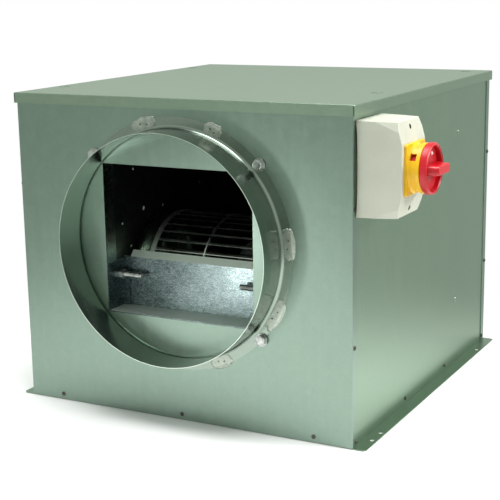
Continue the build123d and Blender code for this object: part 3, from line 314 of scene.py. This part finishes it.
# The screws' dark tint is partly their own dull zinc and partly painted shade for their shaded sockets.
SCREW = plated("dull_zinc_and_shade", tint(104, 100, 92), tint(52, 48, 44), 0.40)
BEARING = plated("ground_steel", tint(205, 205, 205), tint(160, 160, 160), 0.2)
ALUMINIUM = plated("cast_aluminium", tint(176, 178, 180), tint(130, 132, 134), 0.45)
CAN = plated("drawn_can", tint(200, 202, 204), tint(168, 170, 172), 0.32)
LAMINATION = laminated("lamination", tint(120, 120, 122), tint(66, 66, 68))
COPPER = laminated("winding_wire", tint(190, 110, 66), tint(110, 58, 34))
RUBBER = moulded("black_rubber", tint(34, 34, 34), tint(22, 22, 22), 0.6, 900.0, 0.2)
SHEATH = moulded("cable_sheath", tint(30, 30, 31), tint(20, 20, 21), 0.45, 900.0, 0.12)
GREY = moulded("switch_grey", tint(185, 186, 173), tint(177, 179, 165), 0.42, 1600.0, 0.12)
BLACK = moulded("switch_black", tint(38, 38, 38), tint(26, 26, 26), 0.5)
YELLOW = moulded("handle_yellow", tint(228, 178, 0), tint(208, 158, 0), 0.34, 1200.0, 0.05)
RED = moulded("handle_red", tint(192, 6, 28), tint(168, 2, 18), 0.32, 1200.0, 0.05)
WHITE = moulded("marker_white", tint(238, 234, 224), tint(222, 216, 204), 0.45)
PATCH = sealant("weld_patch", tint(178, 182, 172), tint(146, 158, 147))
WELD = plated("weld_point", tint(120, 112, 100), tint(60, 54, 46), 0.45)

FINISHES = {
    CASING: ("front_panel", "rear_panel"),
    SIDE_SHEET: ("side_panel_left", "side_panel_right", "stiffener_rivets"),
    TOP_SHEET: ("lid",),
    SPIGOT: ("outlet_spigot", "inlet_spigot", "inlet_cones"),
    OUTLET: ("outlet_frame",),
    BLOWER_SHADED: ("blower_scroll", "blower_side_left", "blower_side_right"),
    DULL_IN: ("blower_rivets", "base_tray", "side_stiffeners", "blower_feet", "motor_arms", "motor_band",
              "capacitor_clip"),
    CUTOFF: ("cutoff_plate",),
    WHEEL: ("impeller_blades", "impeller_rings", "impeller_disc", "impeller_hub"),
    BRIGHT: ("outlet_bolts", "outlet_bolt_washers", "hex_nuts", "cutoff_bolts", "arm_bolts", "foot_bolts",
             "blower_foot_screws", "impeller_rivets"),
    SCREW: ("inlet_spigot_screws", "lid_screws", "panel_screws", "switch_base_screws", "switch_cover_screws"),
    BEARING: ("motor_bearings", "motor_shaft"),
    ALUMINIUM: ("motor_casing", "motor_end_bells"),
    CAN: ("capacitor",),
    LAMINATION: ("motor_stator", "motor_rotor"),
    COPPER: ("motor_windings",),
    RUBBER: ("arm_bushes", "foot_rubbers", "switch_seal", "cable_grommet"),
    SHEATH: ("motor_cable",),
    GREY: ("switch_cover", "switch_base"),
    BLACK: ("switch_body", "terminal_block", "switch_spindle"),
    YELLOW: ("handle_plate",),
    RED: ("handle_knob",),
    WHITE: ("knob_marker",),
}
for finish, names in FINISHES.items():
    for name in names:
        data = NODES[name].data
        data.materials.clear()
        data.materials.append(finish)


# ---------------------------------------------------------------- pieces

def piece(name, mesh, material, body):
    """Adds a mesh piece that rides on a body."""
    data = bpy.data.meshes.new(name)
    mesh.to_mesh(data)
    mesh.free()
    data.materials.append(material)
    item = bpy.data.objects.new(name, data)
    SCENE.collection.objects.link(item)
    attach(item, body)
    return item


def ring_point(radius, degrees, y):
    """A point on the outlet spigot's face, its angle from +X towards +Z."""
    turn = math.radians(degrees)
    return Vector((RING_X + radius * math.cos(turn), y, RING_Z + radius * math.sin(turn)))


def smooth_step(value):
    share = min(1.0, max(0.0, value))
    return share * share * (3 - 2 * share)


def join_rows(mesh, rows, smooth):
    """Fills the bands between rows of the same number of corners."""
    for near, far in zip(rows, rows[1:]):
        for j in range(len(near)):
            k = (j + 1) % len(near)
            mesh.faces.new((near[j], near[k], far[k], far[j])).smooth = smooth


# Where each weld patch starts and ends round the outlet's ring, in degrees from +X towards +Z.
PATCHES = ((99.6, 112.7), (65.0, 74.0), (-2.0, 12.5), (-36.6, -20.8), (-72.6, -61.5))
PATCH_IN = 0.1572
PATCH_OUT = 0.1752
RING_THICKNESS = 0.0008
RING_FACE = FACE_Y - RING_THICKNESS
PATCH_RISE = 0.0003
PATCH_SHEET = 0.0003
PATCH_GAP = 0.00002
PATCH_SQUARENESS = 3.2
PATCH_WOBBLE = 0.16
PATCH_RINGS = 9
PATCH_CORNERS = 48
LAP_START = 0.0004  # how far inside the ring's rim a patch starts to step down to the panel
LAP_LENGTH = 0.0012
DOT_RADIUS = 0.0011
DOT_FLATNESS = 0.45
DOT_RISE = 0.0005
DOT_CIRCLE = 0.1655
# Each weld point's share of the patch's length and its offset from the circle of weld points.
DOTS = ((0.36, -0.0012), (0.62, 0.0012))


def patch_mesh(first, last):
    """A rounded smear that laps over the ring's rim onto the panel and thins out at its edge."""
    mesh = bmesh.new()
    middle = (first + last) / 2
    reach = (last - first) / 2
    centre_radius = (PATCH_IN + PATCH_OUT) / 2
    half_depth = (PATCH_OUT - PATCH_IN) / 2
    power = PATCH_SQUARENESS
    rows = []
    for i in range(PATCH_RINGS + 1):
        share = i / PATCH_RINGS
        row = []
        for j in range(PATCH_CORNERS):
            angle = 2 * math.pi * j / PATCH_CORNERS
            outline = Vector((first + 2 * math.cos(angle), 2 * math.sin(angle), 0.0))
            wobble = 1 + PATCH_WOBBLE * noise.noise(outline)
            square = (abs(math.cos(angle)) ** power + abs(math.sin(angle)) ** power) ** (-1 / power)
            spread = share * square * wobble
            radius = centre_radius + half_depth * spread * math.sin(angle)
            turn = middle + reach * spread * math.cos(angle)
            ripple = noise.noise(Vector((radius * 400, turn * 1.2, first)))
            rise = PATCH_RISE * smooth_step((1 - share) * 3.0) * (0.8 + 0.6 * ripple)
            on_ring = 1 - smooth_step((radius - RING_RADIUS + LAP_START) / LAP_LENGTH)
            base = FACE_Y - PATCH_GAP - RING_THICKNESS * on_ring
            row.append(mesh.verts.new(ring_point(radius, turn, base - rise)))
            if i == 0:
                break  # the middle is a single point
        rows.append(row)
    for j in range(PATCH_CORNERS):
        k = (j + 1) % PATCH_CORNERS
        mesh.faces.new((rows[0][0], rows[1][k], rows[1][j])).smooth = True
    join_rows(mesh, rows[1:], True)
    bmesh.ops.recalc_face_normals(mesh, faces=mesh.faces)
    return mesh


for number, (first, last) in enumerate(PATCHES):
    item = piece(f"weld_patch_{number}", patch_mesh(first, last), PATCH, "casing")
    solid = item.modifiers.new("body", "SOLIDIFY")
    solid.thickness = PATCH_SHEET
    solid.offset = -1

    dots = bmesh.new()
    for share, offset in DOTS:
        turn = first + (last - first) * share
        centre = ring_point(DOT_CIRCLE + offset, turn, RING_FACE - DOT_RISE)
        bmesh.ops.create_uvsphere(
            dots, u_segments=16, v_segments=8, radius=DOT_RADIUS,
            matrix=Matrix.Translation(centre) @ Matrix.Diagonal((1, DOT_FLATNESS, 1, 1)),
        )
    for face in dots.faces:
        face.smooth = True
    piece(f"weld_points_{number}", dots, WELD, "casing")


BOLT_RADIUS = 0.004
THREAD_DEPTH = 0.00062
THREAD_PITCH = 0.00125
STEPS_PER_PITCH = 8
THREAD_CORNERS = 24
TIP_LENGTH = 0.001
TIP_TAPER = 0.0006
HEAD_FLATS = 0.013
HEAD_HEIGHT = 0.0053
HEAD_RINGS = ((0.0, 1.0), (0.85, 1.0), (1.0, 0.88))  # shares of the head's height and of its width


def around_bolt(seat, along, radius, angle):
    """A point beside a bolt's axis, which runs along X through its seat."""
    return (seat.x + along, seat.y + radius * math.cos(angle), seat.z + radius * math.sin(angle))


def threaded_bolt(mesh, seat, inward, length):
    """A hexagon bolt along X: a chamfered head outside the seat and a helical thread inside it."""
    steps = int(length / THREAD_PITCH * STEPS_PER_PITCH)
    thread = []
    for i in range(steps + 1):
        along = length * i / steps
        taper = TIP_TAPER * smooth_step((along - length + TIP_LENGTH) / TIP_LENGTH)
        row = []
        for j in range(THREAD_CORNERS):
            phase = (along / THREAD_PITCH - j / THREAD_CORNERS) % 1.0
            groove = THREAD_DEPTH * (1 - abs(2 * phase - 1))
            angle = 2 * math.pi * j / THREAD_CORNERS
            spot = around_bolt(seat, inward * along, BOLT_RADIUS - groove - taper, angle)
            row.append(mesh.verts.new(spot))
        thread.append(row)
    join_rows(mesh, thread, True)
    mesh.faces.new(thread[-1])
    head = []
    for share, width in HEAD_RINGS:
        out = -inward * share * HEAD_HEIGHT
        radius = width * HEAD_FLATS / math.sqrt(3)
        spots = [around_bolt(seat, out, radius, math.pi / 3 * j) for j in range(6)]
        head.append([mesh.verts.new(spot) for spot in spots])
    join_rows(mesh, head, False)
    mesh.faces.new(head[0])
    mesh.faces.new(head[-1])


BOLTS_LOW, BOLTS_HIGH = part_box("cutoff_bolts")
BOLT_Y = (BOLTS_LOW.y + BOLTS_HIGH.y) / 2
BOLT_Z = (BOLTS_LOW.z + BOLTS_HIGH.z) / 2
BOLT_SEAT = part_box("blower_side_right")[1].x
BOLT_TIP = 0.077
bolts = bmesh.new()
for side in (-1, 1):
    threaded_bolt(bolts, Vector((side * BOLT_SEAT, BOLT_Y, BOLT_Z)), -side, BOLT_SEAT - BOLT_TIP)
bmesh.ops.recalc_face_normals(bolts, faces=bolts.faces)
threaded = piece("cutoff_bolts_threaded", bolts, BRIGHT, "casing")
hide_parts("cutoff_bolts")


# ---------------------------------------------------------------- camera, light and floor

CAMERA_AT = Vector((0.8424, -1.6455, 0.5967))
YAW, PITCH, ROLL = math.radians(28.03), math.radians(-12.65), math.radians(-0.96)
LENS_LENGTH = 89.244
LENS_SHIFT = (-0.0024, 0.0016)

ahead = Vector((-math.sin(YAW) * math.cos(PITCH), math.cos(YAW) * math.cos(PITCH), math.sin(PITCH)))
level_right = Vector((math.cos(YAW), math.sin(YAW), 0.0))
level_up = level_right.cross(ahead)
right = math.cos(ROLL) * level_right + math.sin(ROLL) * level_up
up = -math.sin(ROLL) * level_right + math.cos(ROLL) * level_up
lens = bpy.data.cameras.new("camera")
lens.sensor_width = 36.0
lens.lens = LENS_LENGTH
lens.shift_x, lens.shift_y = LENS_SHIFT
lens.clip_start = 0.05
lens.clip_end = 50.0
camera = bpy.data.objects.new("camera", lens)
SCENE.collection.objects.link(camera)
camera.matrix_world = Matrix((
    (right.x, up.x, -ahead.x, CAMERA_AT.x),
    (right.y, up.y, -ahead.y, CAMERA_AT.y),
    (right.z, up.z, -ahead.z, CAMERA_AT.z),
    (0, 0, 0, 1),
))
SCENE.camera = camera


def soft_light(name, at, target, size, power, colour=(1, 1, 1)):
    """A rectangular lamp that faces a target."""
    data = bpy.data.lights.new(name, "AREA")
    data.shape = "RECTANGLE"
    data.size, data.size_y = size
    data.energy = power
    data.color = colour
    lamp = bpy.data.objects.new(name, data)
    SCENE.collection.objects.link(lamp)
    lamp.location = at
    lamp.rotation_euler = (Vector(target) - Vector(at)).to_track_quat("-Z", "Y").to_euler()


soft_light("key_light", at=(3.2, 0.9, 1.9), target=(0.2, 0, 0.2), size=(1.4, 1.4), power=120,
           colour=(1.0, 1.0, 0.98))
soft_light("card_light", at=(-0.24, -0.86, 0.12), target=(0.07, -0.23, 0.21), size=(0.07, 0.07), power=0.3)
soft_light("top_light", at=(0.25, -0.4, 3.1), target=(0.1, -0.4, 0.0), size=(2.0, 2.0), power=130)

# The room's brightness by height, as the metal reflects it: 0 straight down, 0.5 level, 1 straight up.
ROOM_TONES = (
    (0.30, (0.62, 0.67, 0.62, 1)),
    (0.50, (0.55, 0.60, 0.56, 1)),
    (0.60, (0.80, 0.86, 0.79, 1)),
    (0.68, (0.74, 0.79, 0.73, 1)),
    (1.00, (0.30, 0.32, 0.30, 1)),
)

world = bpy.data.worlds.new("studio")
world.use_nodes = True
SCENE.world = world
tree = world.node_tree
backdrop = tree.nodes["Background"]
backdrop.inputs["Color"].default_value = (1, 1, 1, 1)
backdrop.inputs["Strength"].default_value = 1.0
room = tree.nodes.new("ShaderNodeBackground")
room.inputs["Strength"].default_value = 1.0
direction = tree.nodes.new("ShaderNodeTexCoord")
split = tree.nodes.new("ShaderNodeSeparateXYZ")
height = tree.nodes.new("ShaderNodeMapRange")
height.inputs["From Min"].default_value = -1.0
ramp = tree.nodes.new("ShaderNodeValToRGB")
tree.links.new(direction.outputs["Generated"], split.inputs["Vector"])
tree.links.new(split.outputs["Z"], height.inputs["Value"])
tree.links.new(height.outputs["Result"], ramp.inputs["Fac"])
tree.links.new(ramp.outputs["Color"], room.inputs["Color"])
while len(ramp.color_ramp.elements) < len(ROOM_TONES):
    ramp.color_ramp.elements.new(0.5)
for element, (position, tone) in zip(ramp.color_ramp.elements, ROOM_TONES):
    element.position = position
    element.color = tone
choose = tree.nodes.new("ShaderNodeMixShader")
path = tree.nodes.new("ShaderNodeLightPath")
tree.links.new(path.outputs["Is Camera Ray"], choose.inputs["Fac"])
tree.links.new(room.outputs["Background"], choose.inputs[1])
tree.links.new(backdrop.outputs["Background"], choose.inputs[2])
tree.links.new(choose.outputs["Shader"], tree.nodes["World Output"].inputs["Surface"])

FLOOR_RADIUS = 1.3
FLOOR_CENTRE = Vector((0.1, -0.5, 0.0))
FLOOR_DROP = Vector((0.0, 0.0, -0.0005))
FLOOR_FADE = (0.45, 1.10)  # radii between which the floor fades into the backdrop
floor_mesh = bmesh.new()
bmesh.ops.create_circle(floor_mesh, cap_ends=True, segments=128, radius=FLOOR_RADIUS,
                        matrix=Matrix.Translation(FLOOR_CENTRE + FLOOR_DROP))
floor_data = bpy.data.meshes.new("floor")
floor_mesh.to_mesh(floor_data)
floor_mesh.free()
floor = bpy.data.objects.new("floor", floor_data)
SCENE.collection.objects.link(floor)
paper = Nodes("floor_paper")
mottling = paper.noise(paper.place, 2.0, 2.0)
paper.colour(paper.blend(mottling, (0.90, 0.90, 0.90, 1), (0.93, 0.93, 0.93, 1)))
paper.rough(0.8)
distance = paper.add("ShaderNodeVectorMath", operation="DISTANCE")
paper.link(paper.place, distance.inputs[0])
distance.inputs[1].default_value = FLOOR_CENTRE
presence = paper.span(distance.outputs["Value"], *FLOOR_FADE, 1.0, 0.0, smooth=True)
paper.link(presence, paper.shader.inputs["Alpha"])
floor_data.materials.append(paper.material)

SCENE.view_settings.view_transform = "Standard"
SCENE.view_settings.look = "None"
